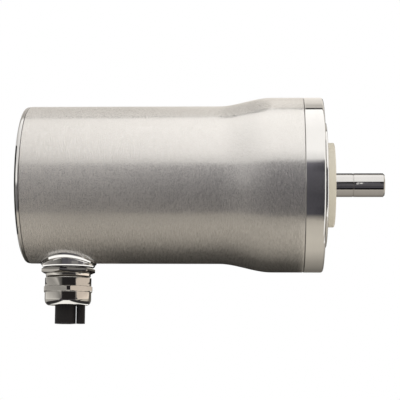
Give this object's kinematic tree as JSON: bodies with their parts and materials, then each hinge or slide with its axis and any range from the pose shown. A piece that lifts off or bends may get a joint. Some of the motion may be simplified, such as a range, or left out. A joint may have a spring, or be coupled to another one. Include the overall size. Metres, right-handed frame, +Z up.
{
  "type": "gearmotor",
  "caption": "Round stainless gearmotor with a brushed tube housing flared to a polished front flange, a plain output shaft with a pale seal cover, and a cable gland underneath.",
  "frame": {"origin": "on the output shaft's axis, in the plane of the flange's mounting face", "axes": "+X out along the output shaft, +Z up with the cable gland pointing down, -Y the side the gland leans to"},
  "size_m": [0.2117, 0.1032, 0.1339],
  "materials": {
    "brushed_stainless": "satin",
    "polished_stainless": "polished",
    "ground_steel": "satin",
    "gear_steel": "satin",
    "lamination": "matte",
    "cast_aluminium": "satin",
    "copper_enamel": "satin",
    "ferrite": "matte",
    "bronze": "satin",
    "nickel_brass": "polished",
    "cream_plastic": "satin",
    "black_rubber": "matte",
    "black_sheath": "satin",
    "board_green": "satin"
  },
  "bodies": {
    "housing": {"bearing_circlip": "gear_steel", "carrier_bearing_outer": "ground_steel", "flange_screw_1": "ground_steel", "flange_screw_2": "ground_steel", "flange_screw_3": "ground_steel", "flange_screw_4": "ground_steel", "flange_seal": "black_rubber", "front_bearing_outer": "ground_steel", "front_bearing_shield": "cast_aluminium", "front_flange": "polished_stainless", "gland_body": "nickel_brass", "gland_boss": "polished_stainless", "gland_cap_nut": "nickel_brass", "gland_insert": "black_rubber", "gland_washer": "black_rubber", "motor_housing": "brushed_stainless", "output_bearing_outer": "ground_steel", "power_cable": "black_sheath", "preload_washer": "gear_steel", "rear_bearing_outer": "ground_steel", "rear_bearing_shield": "cast_aluminium", "rear_cover": "polished_stainless", "rear_cover_seal": "black_rubber", "ring_gear": "gear_steel", "seal_cover": "cream_plastic", "sensor_board": "board_green", "shaft_lip_seal": "black_rubber", "signal_cable": "black_sheath", "stator_core": "lamination", "stator_winding": "copper_enamel", "tie_bolt_1": "ground_steel", "tie_bolt_2": "ground_steel", "tie_bolt_3": "ground_steel", "tie_bolt_4": "ground_steel"},
    "rotor": {"rotor_shaft": "ground_steel", "rotor_core": "lamination", "rotor_magnet_ring": "ferrite", "sun_gear": "gear_steel", "encoder_magnet": "ferrite", "front_bearing_inner": "ground_steel", "rear_bearing_inner": "ground_steel"},
    "output": {"output_shaft": "polished_stainless", "carrier_front_plate": "gear_steel", "carrier_rear_plate": "gear_steel", "planet_pin_1": "ground_steel", "planet_pin_2": "ground_steel", "planet_pin_3": "ground_steel", "output_bearing_inner": "ground_steel", "carrier_bearing_inner": "ground_steel"},
    "planet_1": {"planet_gear_1": "gear_steel", "planet_bush_1": "bronze"},
    "planet_2": {"planet_gear_2": "gear_steel", "planet_bush_2": "bronze"},
    "planet_3": {"planet_gear_3": "gear_steel", "planet_bush_3": "bronze"},
    "front_bearing_cage": {"front_bearing_balls": "ground_steel"},
    "rear_bearing_cage": {"rear_bearing_balls": "ground_steel"},
    "output_bearing_cage": {"output_bearing_balls": "ground_steel"},
    "carrier_bearing_cage": {"carrier_bearing_balls": "ground_steel"}
  },
  "joints": [
    {"name": "rotor_spin", "type": "hinge", "parent": "housing", "child": "rotor", "pos_m": [-0.094, 0, 0], "axis": [1, 0, 0], "continuous": true},
    {"name": "output_spin", "type": "hinge", "parent": "housing", "child": "output", "pos_m": [0, 0, 0], "axis": [1, 0, 0], "continuous": true},
    {"name": "planet_1_spin", "type": "hinge", "parent": "output", "child": "planet_1", "pos_m": [-0.0322, 0, 0.0225], "axis": [1, 0, 0], "continuous": true},
    {"name": "planet_2_spin", "type": "hinge", "parent": "output", "child": "planet_2", "pos_m": [-0.0322, -0.01949, -0.01125], "axis": [1, 0, 0], "continuous": true},
    {"name": "planet_3_spin", "type": "hinge", "parent": "output", "child": "planet_3", "pos_m": [-0.0322, 0.01949, -0.01125], "axis": [1, 0, 0], "continuous": true},
    {"name": "front_bearing_cage_spin", "type": "hinge", "parent": "housing", "child": "front_bearing_cage", "pos_m": [-0.0613, 0, 0], "axis": [1, 0, 0], "continuous": true},
    {"name": "rear_bearing_cage_spin", "type": "hinge", "parent": "housing", "child": "rear_bearing_cage", "pos_m": [-0.126, 0, 0], "axis": [1, 0, 0], "continuous": true},
    {"name": "output_bearing_cage_spin", "type": "hinge", "parent": "housing", "child": "output_bearing_cage", "pos_m": [-0.011, 0, 0], "axis": [1, 0, 0], "continuous": true},
    {"name": "carrier_bearing_cage_spin", "type": "hinge", "parent": "housing", "child": "carrier_bearing_cage", "pos_m": [-0.0497, 0, 0], "axis": [1, 0, 0], "continuous": true}
  ],
  "couplings": [
    {"joint": "output_spin", "follows": "rotor_spin", "ratio": 0.25},
    {"joint": "planet_1_spin", "follows": "rotor_spin", "ratio": -0.75},
    {"joint": "planet_2_spin", "follows": "rotor_spin", "ratio": -0.75},
    {"joint": "planet_3_spin", "follows": "rotor_spin", "ratio": -0.75},
    {"joint": "front_bearing_cage_spin", "follows": "rotor_spin", "ratio": 0.41026},
    {"joint": "rear_bearing_cage_spin", "follows": "rotor_spin", "ratio": 0.41026},
    {"joint": "output_bearing_cage_spin", "follows": "rotor_spin", "ratio": 0.10305},
    {"joint": "carrier_bearing_cage_spin", "follows": "rotor_spin", "ratio": 0.11594}
  ]
}
